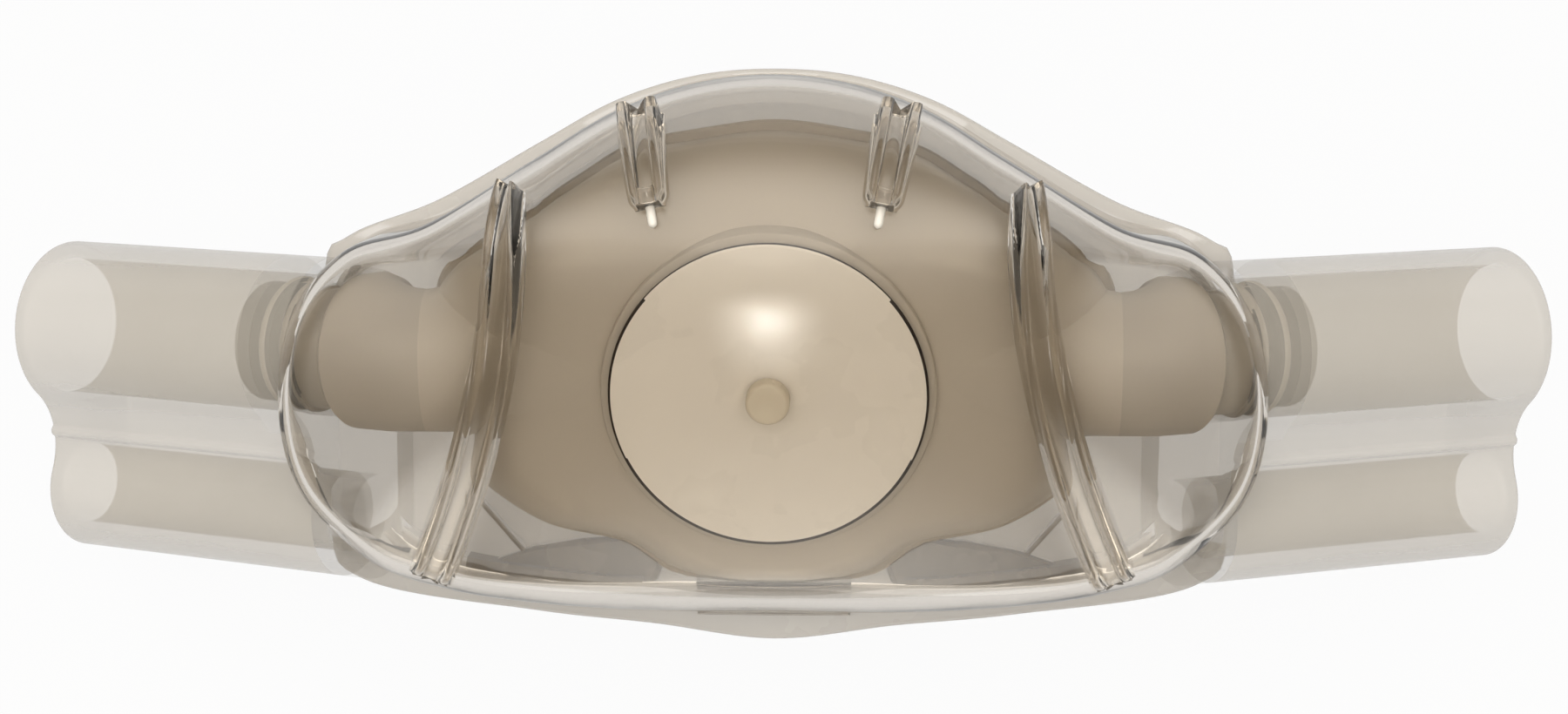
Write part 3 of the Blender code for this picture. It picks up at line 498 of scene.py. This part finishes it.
round_edge = [(EDGE_ROUND * (1.0 - math.sin(a)), EDGE_ROUND * (1.0 - math.cos(a))) for a in quarter_turn]
rows = [sheet_row(0.0, step, lift) for step, lift in round_edge[::-1]]
rows += [sheet_row(s, 0.0, 0.0) for s in SHEET_STEPS]
rows += [sheet_row(1.0, -step, lift) for step, lift in round_edge]
rows += [sheet_row(1.0, -step, FLANGE_THICK - lift) for step, lift in round_edge[::-1]]
rows += [sheet_row(s, 0.0, FLANGE_THICK) for s in SHEET_STEPS[::-1]]
rows += [sheet_row(0.0, step, FLANGE_THICK - lift) for step, lift in round_edge]
face = shaped("face_flange", rows + rows[:1])
collar_out = inset(cover_line, COVER_WALL + 2.0 * SEAT_GAP)
collar_in = inset(collar_out, COLLAR_WALL)
section = ((collar_out, COLLAR_FOOT), (collar_out, COLLAR_TOP), (collar_in, COLLAR_TOP),
           (collar_in, COLLAR_FOOT), (collar_out, COLLAR_FOOT))
collar = shaped("collar", [over_flange(line, lift) for line, lift in section])
for (x, y), (width, depth) in COLLAR_BREAKS:
    bpy.ops.object.select_all(action="DESELECT")
    bpy.ops.mesh.primitive_cube_add(size=1.0)
    box = bpy.context.object
    centre = [MM * v for v in (x, y, BREAK_HEIGHT / 2.0)]
    size = [MM * v for v in (width, depth, BREAK_HEIGHT)]
    box.data.transform(Matrix.Translation(centre) @ Matrix.Diagonal((*size, 1.0)))
    combine(collar, box, "DIFFERENCE")
combine(face, collar, "UNION")
for side, word in SIDES:
    knots = np.array([(side * a, b) for a, b in PAD_LINE])
    away = knots.mean(axis=0) - knots
    away /= np.linalg.norm(away, axis=1)[:, None]
    rows = [over_flange(knots + shrink * away, lift) for shrink, lift in PAD_LAYERS]
    combine(face, shaped(word + "_lip_pad", capped(rows)), "UNION")
    foot, head = (np.array([side * x, y]) for x, y in (WEB_FOOT, WEB_HEAD))
    along = (head - foot) / np.linalg.norm(head - foot)
    across = WEB_HALF * np.array([along[1], -along[0]])
    corners = np.array([foot - across, foot + across, head + across, head - across])
    rows = [over_flange(corners, lift) for lift in WEB_LIFTS]
    combine(face, shaped(word + "_lip_web", capped(rows)), "UNION")


def vinyl(name, colour, roughness, alpha, cloud=(12.0, 0.05, 0.3), grain=(1.5, 0.02)):
    return finish(name, colour, roughness, cloud, grain, alpha=alpha)


ARM, SHEET, ROOT, PAD, SOCKET, BORDER = range(6)
VINYLS = [
    vinyl("frosted_vinyl", (0.53, 0.495, 0.436), 0.2, 0.45),
    # The sheet inside the cover is lighter than the border: painted light for the shade under the clear
    # cover.
    vinyl("flange_vinyl_painted_light", (0.72, 0.673, 0.609), 0.25, 0.48),
    vinyl("root_vinyl", (0.5, 0.464, 0.404), 0.2, 0.12),
    vinyl("pad_vinyl", (0.26, 0.219, 0.163), 0.25, 0.66, (5.0, 0.3, 0.3), (1.5, 0.03)),
    vinyl("socket_vinyl", (0.5, 0.464, 0.404), 0.2, 0.34),
    vinyl("border_vinyl", (0.56, 0.52, 0.462), 0.25, 0.6),
]
PAD_ZONE_X, PAD_ZONE_Y, PAD_ZONE_LIFT = (12.0, 35.5), (-28.0, -16.0), 2.3
CLEAR_END_X, SOCKET_X, SOCKET_Y = ARM_ROOT_X + 3.5, 55.3, -8.0
ARM_ROUND, BORE_ROUND, BORE_INNER, BORE_OUTER, BORE_POINTS = 0.6, 0.5, 1.5, 2.0, 96


def give_vinyl(obj, pick):
    """Each face takes the finish that pick gives for it, by its number in the list."""
    obj.data.materials.clear()
    for mat in VINYLS:
        obj.data.materials.append(mat)
    for part in obj.data.polygons:
        part.material_index = pick(*(np.array(part.center) / MM))


def inside(line, x, y):
    """Whether a point is inside a closed line, by how often the line passes to its right."""
    a, b = line, np.roll(line, -1, axis=0)
    spans = (a[:, 1] > y) != (b[:, 1] > y)
    meets = a[:, 0] + (y - a[:, 1]) * (b[:, 0] - a[:, 0]) / (b[:, 1] - a[:, 1] + 1e-9)
    return (spans & (x < meets)).sum() % 2 == 1


def flange_finish(x, y, z):
    """Darker pads and webs at the lip, a clearer sheet inside the cover whose colour is lightened as painted
    light against the shade under the cover, and a denser border.
    """
    in_zone = PAD_ZONE_X[0] < abs(x) < PAD_ZONE_X[1] and PAD_ZONE_Y[0] < y < PAD_ZONE_Y[1]
    if in_zone and z > flange_z(x) + PAD_ZONE_LIFT:
        return PAD
    return SHEET if inside(cover_line, x, y) else BORDER


def along_arm(x, z):
    return x * math.cos(ARM_SWEEP) - z * math.sin(ARM_SWEEP)


def arm_finish(x, y, z):
    """The arm's first stretch is the clearest, and its walls round the cup's beads come next."""
    clear_end, socket_end = (along_arm(station, arm_axis_z(station)) for station in (CLEAR_END_X, SOCKET_X))
    run = along_arm(abs(x), z)
    if run < clear_end:
        return ROOT
    return SOCKET if run < socket_end and y > SOCKET_Y else ARM


give_vinyl(face, flange_finish)
for side, word in SIDES:
    rule = [(ARM_ROOT_X, 0.0), (CLEAR_END_X, 0.0), (SOCKET_X, 0.0)]
    rule += [(ARM_END_X - ARM_ROUND + ARM_ROUND * math.sin(a), -ARM_ROUND * (1.0 - math.cos(a)))
             for a in quarter_turn]
    arm = arm_body(word + "_arm", side, rule)
    give_vinyl(arm, arm_finish)
    combine(face, arm, "UNION")
ring_turn = np.linspace(0.0, 2.0 * math.pi, BORE_POINTS + 1)[:-1]
ring = np.column_stack([np.cos(ring_turn), np.sin(ring_turn)])
for side, word in SIDES:
    for centre, radius in ((np.zeros(2), BIG_BORE), (SMALL_CENTRE, SMALL_BORE)):
        mouth = ARM_END_X - BORE_ROUND
        rule = [(ARM_ROOT_X - BORE_INNER, radius), (CLEAR_END_X, radius), (SOCKET_X, radius), (mouth, radius)]
        rule += [(mouth + BORE_ROUND * math.sin(a), radius + BORE_ROUND * (1.0 - math.cos(a)))
                 for a in quarter_turn[1:]]
        rule.append((ARM_END_X + BORE_OUTER, radius + BORE_OUTER))
        bore_tool = shaped(word + "_bore", capped([arm_points(side, x, centre + r * ring) for x, r in rule]))
        give_vinyl(bore_tool, arm_finish)
        combine(face, bore_tool, "DIFFERENCE")
smooth(face)
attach(face, "root")
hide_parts("face_frame")


# Nose cup
# The beige inner cup over the nose, moulded in soft vinyl in one piece with a
# rim that rests on the flange, a side tube to each arm whose beads seal in the
# large bore, and the round seat of the valve with four ports.
CUP_EDGE = ((15.0, 14.0), (7.0, 8.0), (4.0, 10.0))
CUP_CENTRE = np.array([0.0, 1.0])
CUP_FLAT_X, CUP_CROWN_R, CUP_BREAK, CORE_DROP = 12.0, 111.0, 14.4, 4.0
RIM_WIDTH, RIM_HEIGHT, RIM_ROUND = 1.2, 1.4, 0.3
TUBE_R, TUBE_WALL, TUBE_RISE, BEND_X = 9.0, 1.5, math.radians(-2.0), 42.3
# The necks of the side tubes: how much of the upper half is gone at each station
TUBE_DIPS = [(19.0, 0.0), (33.0, 0.06), (35.0, 0.14), (37.0, 0.21), (38.6, 0.24), (40.0, 0.22),
             (41.4, 0.16), (42.3, 0.12)]
TUBE_EASE = [(1.2, 0.06), (2.6, 0.01)]
TUBE_SHOULDER = [(-0.5, 0.0), (-0.2, -0.2), (0.0, -0.6)]
BEAD_R, NECK_R = BIG_BORE - 0.3, BIG_BORE - 0.8
PLUG_LENGTH, PLUG_TAPER, PLUG_END = 10.6, 0.3, 2.2
BEAD_COUNT, BEAD_LENGTH, BEAD_GAP, BEAD_POINTS = 2, 1.5, 1.3, 9
BORE_STEP, BORE_REACH, BORE_DIP = 1.2, 16.0, 1.2
DISC_R, SEAT_MARGIN, SEAT_HEIGHT = 17.4, 0.9, 0.9
SEAT_PROFILE = [(0.0, -2.9), (0.0, -0.6), (-0.1, -0.4), (-0.3, -0.3)]
PORT_RING, HUB_R, SPOKE_HALF, STEM_HOLE_R = 2.6, 4.2, 1.2, 1.4
CUT_LOW, CUT_HIGH = -4.4, 1.5
PORTS, PORT_POINTS, VALVE_POINTS, HOLE_POINTS = 4, 20, 160, 32


def cup_top(x, y, less=0.0):
    """Height of the cup's crown, which carries the tilted valve seat."""
    seat = VALVE_Z - (SEAT_HEIGHT + SEAT_GAP) / math.cos(VALVE_TILT)
    fall = np.maximum(0.0, np.abs(x) - CUP_FLAT_X) ** 2 / (2.0 * CUP_CROWN_R)
    return seat + math.tan(VALVE_TILT) * np.minimum(y - VALVE_Y, CUP_BREAK) - fall - less


def tube_body(name, side, rule):
    """A round body along the side tube; rule holds (run from the bend, radius, dip of the upper half)."""
    rows = []
    for run, radius, dip in rule:
        slope = TUBE_RISE if run < 0.0 else ARM_SWEEP if run > 0.0 else (TUBE_RISE + ARM_SWEEP) / 2.0
        cos = 1.0 if run <= 0.0 else math.cos(slope)
        x, z = BEND_X + run * cos, arm_axis_z(BEND_X) - run * math.tan(slope) * cos
        squash = np.where(ring[:, 0] > 0.0, 1.0 - dip, 1.0)
        rows.append(np.column_stack([side * (x + radius * ring[:, 1] * math.sin(slope)),
                                     ARM_AXIS_Y + radius * squash * ring[:, 0],
                                     z + radius * ring[:, 1] * math.cos(slope)]))
    return shaped(name, capped(rows))


def cup_body(name, line, base, less=0.0):
    """The cup's dome over a line; its last row is already one point."""
    return shaped(name, capped(dome_rows(line, CUP_CENTRE, cup_top, CUP_EDGE, base, less))[:-1])


def on_valve(flat, height):
    """Flat points placed at a height over the valve's tilted plane."""
    across, up = math.cos(VALVE_TILT), math.sin(VALVE_TILT)
    return np.column_stack([flat[:, 0], VALVE_Y + flat[:, 1] * across - height * up,
                            VALVE_Z + flat[:, 1] * up + height * across])


def valve_rows(profile, count=VALVE_POINTS):
    """Rows of a body of revolution about the valve's axis; profile holds (radius, height)."""
    a = 2.0 * math.pi * np.arange(count) / count
    circle = np.column_stack([np.cos(a), np.sin(a)])
    return [on_valve(r * circle, height) for r, height in profile]


cup = cup_body("nose_cup", cup_line, seated_z)
start = (ARM_ROOT_X - BEND_X) / math.cos(ARM_SWEEP) - SEAT_GAP
rule = [(x - BEND_X, TUBE_R, dip) for x, dip in TUBE_DIPS]
rule += [(run, TUBE_R, dip) for run, dip in TUBE_EASE]
rule += [(start + run, TUBE_R + grow, 0.0) for run, grow in TUBE_SHOULDER]
rule.append((start, NECK_R, 0.0))
run = start + PLUG_LENGTH - BEAD_COUNT * (BEAD_LENGTH + BEAD_GAP)
for _ in range(BEAD_COUNT):
    rule += [(run + BEAD_LENGTH * s, NECK_R + (BEAD_R - NECK_R) * math.sin(math.pi * s), 0.0)
             for s in np.linspace(0.0, 1.0, BEAD_POINTS)]
    run += BEAD_LENGTH + BEAD_GAP
rule += [(run, NECK_R - PLUG_TAPER, 0.0), (run + PLUG_END, NECK_R - PLUG_TAPER, 0.0)]
for side, word in SIDES:
    combine(cup, tube_body(word + "_tube", side, rule), "UNION")
seat_profile = [(DISC_R + SEAT_MARGIN + grow, height) for grow, height in SEAT_PROFILE]
combine(cup, shaped("seat", capped(valve_rows(seat_profile))), "UNION")
wide, soft, deep = (inset(cup_line, d) for d in (-RIM_WIDTH, RIM_ROUND - RIM_WIDTH, CUP_WALL / 2.0))
rim_top = SEATED + RIM_HEIGHT
section = ((wide, SEATED), (wide, rim_top - RIM_ROUND), (soft, rim_top), (deep, rim_top), (deep, SEATED),
           (wide, SEATED))
combine(cup, shaped("rim", [over_flange(line, lift) for line, lift in section]), "UNION")
core = cup_body("core", inset(cup_line, CUP_WALL), lambda x: flange_z(x) - CORE_DROP, CUP_WALL)
combine(cup, core, "DIFFERENCE")
rule = [(x - BEND_X, TUBE_R - TUBE_WALL, BORE_DIP * dip) for x, dip in TUBE_DIPS]
rule += [(BORE_STEP, NECK_R - TUBE_WALL, 0.0), (start + BORE_REACH, NECK_R - TUBE_WALL, 0.0)]
for side, word in SIDES:
    combine(cup, tube_body(word + "_tube_bore", side, rule), "DIFFERENCE")
for quarter in range(PORTS):
    points = []
    for radius, order in ((DISC_R - PORT_RING, 1), (HUB_R, -1)):
        trim = math.asin(SPOKE_HALF / radius)
        a = np.linspace(trim, 2.0 * math.pi / PORTS - trim, PORT_POINTS)[::order]
        a = a + quarter * 2.0 * math.pi / PORTS
        points.append(np.column_stack([radius * np.cos(a), radius * np.sin(a)]))
    port = [on_valve(np.vstack(points), height) for height in (CUT_LOW, CUT_HIGH)]
    combine(cup, shaped("port", capped(port)), "DIFFERENCE")
hole = valve_rows([(STEM_HOLE_R, CUT_LOW), (STEM_HOLE_R, CUT_HIGH)], HOLE_POINTS)
combine(cup, shaped("stem_hole", capped(hole)), "DIFFERENCE")
smooth(cup)

beige = finish("beige_vinyl", (0.54, 0.479, 0.394), 0.4, (14.0, 0.05, 0.25), (1.2, 0.002),
               alpha=0.97, ior=1.45)
# Near-black copy of the vinyl: painted shade on the tube's end inside the arm's bore.
plug_shade_paint = finish("plug_shade_paint", (0.03, 0.026, 0.021), 0.35, (6.0, 0.1, 0.25), (1.2, 0.02), ior=1.45)
# Darker copy of the beige: painted shade on the side tubes, also given to the bead crests.
tube_shade_paint = finish("tube_shade_paint", (0.455, 0.403, 0.331), 0.4, (9.0, 0.08, 0.25), (1.2, 0.002),
                    alpha=0.97, ior=1.45)
PLUG_SHADE, TUBE_SHADE = 1, 2
PLUG_X, CREST = ARM_ROOT_X + 6.7, 0.33
TUBE_X, TUBE_Z = BEND_X - 4.0, 20.0
dress(cup, beige)
cup.data.materials.append(plug_shade_paint)
cup.data.materials.append(tube_shade_paint)
# Painted shade by region: the tube ends inside the bores near-black, the side tubes and the bead crests a
# darker beige.
for part in cup.data.polygons:
    x, y, z = abs(part.center[0]) / MM, part.center[1] / MM, part.center[2] / MM
    forward = (x - BEND_X) * math.sin(ARM_SWEEP) + (z - arm_axis_z(BEND_X)) * math.cos(ARM_SWEEP)
    if x > PLUG_X:
        part.material_index = TUBE_SHADE if math.hypot(y - ARM_AXIS_Y, forward) > NECK_R + CREST else PLUG_SHADE
    elif x > TUBE_X and z > TUBE_Z:
        part.material_index = TUBE_SHADE
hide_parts("inner_hood")


# Valve disc and stud
# The exhalation flap: a thin disc of pale silicone film on the seat, held in
# its middle by a small moulded button with a barbed stem.
DISC_PROFILE = [
    (STEM_HOLE_R, 0.0), (17.12, 0.0), (17.35, 0.1), (DISC_R, 0.3), (DISC_R, 0.5), (17.35, 0.7), (17.12, 0.8),
    (17.0, 0.78), (16.0, 0.7), (10.0, 0.65), (3.4, 0.7), (2.9, 0.8), (STEM_HOLE_R, 0.8), (STEM_HOLE_R, 0.0),
]
SHADE_EDGE_R, VALVE_ANGLE, STUD_POINTS = 17.13, 40.0, 64
STUD_PROFILE = [
    (0.3, -4.6), (1.9, -3.5), (1.9, -3.2), (1.1, -3.2), (1.1, 1.1), (2.4, 1.1), (2.4, 2.5), (2.33, 2.72),
    (2.18, 2.86), (1.95, 2.9), (1.2, 2.8),
]
disc = shaped("valve_flap", valve_rows(DISC_PROFILE))
smooth(disc, VALVE_ANGLE)
film = finish("silicone_film", (0.95, 0.887, 0.793), 0.3, (9.0, 0.05, 0.3), (2.5, 0.004),
              alpha=0.95, ior=1.45)
# The film's outer rim is painted near-black: painted shade for the dark line round the flap's edge.
edge_shade_paint = finish("film_edge_painted_shade", (0.03, 0.018, 0.011), 0.7, (3.0, 0.2, 0.3), (0.8, 0.02), ior=1.1)
dress(disc, film)
disc.data.materials.append(edge_shade_paint)
# Painted shade: the film's outermost faces take the near-black edge finish.
for part in disc.data.polygons:
    up_slope = (part.center[1] / MM - VALVE_Y) / math.cos(VALVE_TILT)
    if math.hypot(part.center[0] / MM, up_slope) > SHADE_EDGE_R:
        part.material_index = 1
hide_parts("valve_disc")
stud = shaped("valve_button", capped(valve_rows(STUD_PROFILE, STUD_POINTS)))
smooth(stud, VALVE_ANGLE)
button = finish("button_plastic", (0.76, 0.673, 0.525), 0.25, (4.0, 0.06, 0.3), (0.9, 0.02))
dress(stud, button)
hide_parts("valve_stud")


# Table, light and camera
# A plain white table under the hood, which looks evenly white in the picture
# and through the clear plastic but still takes the hood's shadow. The light is
# a soft studio sky, bright overhead and dim at the sides, and one weak lamp.
TABLE_SIZE, TABLE_Z, TABLE_GREY, TABLE_ROUGHNESS = 6.0, -0.0006, 0.45, 0.8
TABLE_GLOW, GLOSSY_GLOW, CLEAR_GLOW = 0.95, 0.5, 0.85


def number(tree, operation, first, second):
    """A math node of a node tree; its inputs are sockets or numbers."""
    node = tree.nodes.new("ShaderNodeMath")
    node.operation = operation
    for place, value in enumerate((first, second)):
        if isinstance(value, float):
            node.inputs[place].default_value = value
        else:
            tree.links.new(value, node.inputs[place])
    return node.outputs["Value"]


bpy.ops.object.select_all(action="DESELECT")
bpy.ops.mesh.primitive_plane_add(size=TABLE_SIZE)
floor = bpy.context.object
floor.name = "table"
floor.location.z = TABLE_Z
table = bpy.data.materials.new("white_table")
table.use_nodes = True
tree = table.node_tree
shader = tree.nodes["Principled BSDF"]
shader.inputs["Base Color"].default_value = (TABLE_GREY, TABLE_GREY, TABLE_GREY, 1.0)
shader.inputs["Roughness"].default_value = TABLE_ROUGHNESS
shader.inputs["Specular IOR Level"].default_value = 0.0
glow = tree.nodes.new("ShaderNodeEmission")
glow.inputs["Strength"].default_value = 1.0
ray = tree.nodes.new("ShaderNodeLightPath").outputs
mirrored = number(tree, "MULTIPLY", ray["Is Glossy Ray"], GLOSSY_GLOW)
through = number(tree, "MULTIPLY", ray["Is Transmission Ray"], CLEAR_GLOW)
share = number(tree, "MAXIMUM", number(tree, "MAXIMUM", ray["Is Camera Ray"], mirrored), through)
share = number(tree, "MULTIPLY", share, TABLE_GLOW)
share = number(tree, "MULTIPLY", share, number(tree, "LESS_THAN", ray["Diffuse Depth"], 0.5))
surface = tree.nodes.new("ShaderNodeMixShader")
tree.links.new(share, surface.inputs["Fac"])
tree.links.new(shader.outputs["BSDF"], surface.inputs[1])
tree.links.new(glow.outputs["Emission"], surface.inputs[2])
tree.links.new(surface.outputs["Shader"], tree.nodes["Material Output"].inputs["Surface"])
floor.data.materials.append(table)

SKY_COLOUR = (1.0, 0.965, 0.91, 1.0)
OVERHEAD, OVERHEAD_EDGE, DIM, BRIGHT = (-0.02, 0.44, 0.90), 0.5, 0.14, 2.85
SPARK, SPARK_EDGE, SPARK_HALO = (-0.04, -0.515, 0.88), math.cos(math.radians(7.0)), 1.6
SPARK_FOCUS, SPARK_CORE = 900.0, 8.0
LOW, LOW_EDGE, LOW_LIGHT = (0.0, -0.94, 0.34), math.cos(math.radians(34.0)), 3.2
world = bpy.data.worlds.new("studio")
bpy.context.scene.world = world
world.use_nodes = True
tree = world.node_tree
way = tree.nodes.new("ShaderNodeTexCoord")


def toward(direction):
    """How far each way of the sky points in a direction."""
    node = tree.nodes.new("ShaderNodeVectorMath")
    node.operation = "DOT_PRODUCT"
    node.inputs[1].default_value = direction
    tree.links.new(way.outputs["Generated"], node.inputs[0])
    return node.outputs["Value"]


def patch(value, edge, low, high, kind):
    """Light that rises softly from low at the patch's edge to high in its middle."""
    node = tree.nodes.new("ShaderNodeMapRange")
    node.interpolation_type = kind
    node.inputs["From Min"].default_value = edge
    node.inputs["From Max"].default_value = 1.0
    node.inputs["To Min"].default_value = low
    node.inputs["To Max"].default_value = high
    tree.links.new(value, node.inputs["Value"])
    return node.outputs["Result"]


spark = toward(Vector(SPARK).normalized())
ray = tree.nodes.new("ShaderNodeLightPath").outputs
not_diffuse = number(tree, "SUBTRACT", 1.0, ray["Is Diffuse Ray"])
glint = number(tree, "POWER", number(tree, "MAXIMUM", spark, 0.0), SPARK_FOCUS)
low = patch(toward(LOW), LOW_EDGE, 0.0, LOW_LIGHT, "SMOOTHSTEP")
total = patch(toward(OVERHEAD), OVERHEAD_EDGE, DIM, BRIGHT, "SMOOTHSTEP")
total = number(tree, "ADD", total, patch(spark, SPARK_EDGE, 0.0, SPARK_HALO, "SMOOTHERSTEP"))
total = number(tree, "ADD", total, number(tree, "MULTIPLY", glint, SPARK_CORE))
total = number(tree, "ADD", total, number(tree, "MULTIPLY", low, not_diffuse))
sky = tree.nodes["Background"]
sky.inputs["Color"].default_value = SKY_COLOUR
tree.links.new(total, sky.inputs["Strength"])

AIM = Vector((0.0, 0.0, 0.02))
KEY_PLACE, KEY_SIZE, KEY_WATTS = Vector((-0.25, 0.95, 0.95)), 0.5, 2.0
key_data = bpy.data.lights.new("key", "AREA")
key_data.shape = "DISK"
key_data.size = KEY_SIZE
key_data.energy = KEY_WATTS
key = bpy.data.objects.new("key", key_data)
bpy.context.collection.objects.link(key)
key.location = KEY_PLACE
key.rotation_euler = (AIM - KEY_PLACE).to_track_quat("-Z", "Y").to_euler()
key.visible_glossy = False
key.visible_transmission = False

YAW, PITCH, DISTANCE, LENS = math.radians(2.2), math.radians(8.5), 0.330, 66.0
PHOTO_WIDTH, PHOTO_SHIFT = 1800.0, 10.5
back = Vector((math.sin(YAW) * math.cos(PITCH), math.sin(PITCH), math.cos(YAW) * math.cos(PITCH)))
right = (-back).cross(Vector((0.0, 1.0, 0.0))).normalized()
axes = Matrix((right, right.cross(-back), back)).transposed().to_4x4()
camera = bpy.data.objects.new("camera", bpy.data.cameras.new("camera"))
bpy.context.collection.objects.link(camera)
camera.matrix_world = Matrix.Translation(AIM + DISTANCE * back) @ axes
camera.data.lens = LENS
camera.data.shift_x = PHOTO_SHIFT / PHOTO_WIDTH
camera.data.clip_start = 0.01
bpy.context.scene.camera = camera
bpy.context.scene.view_settings.view_transform = "Standard"
bpy.context.scene.cycles.transparent_max_bounces = 24
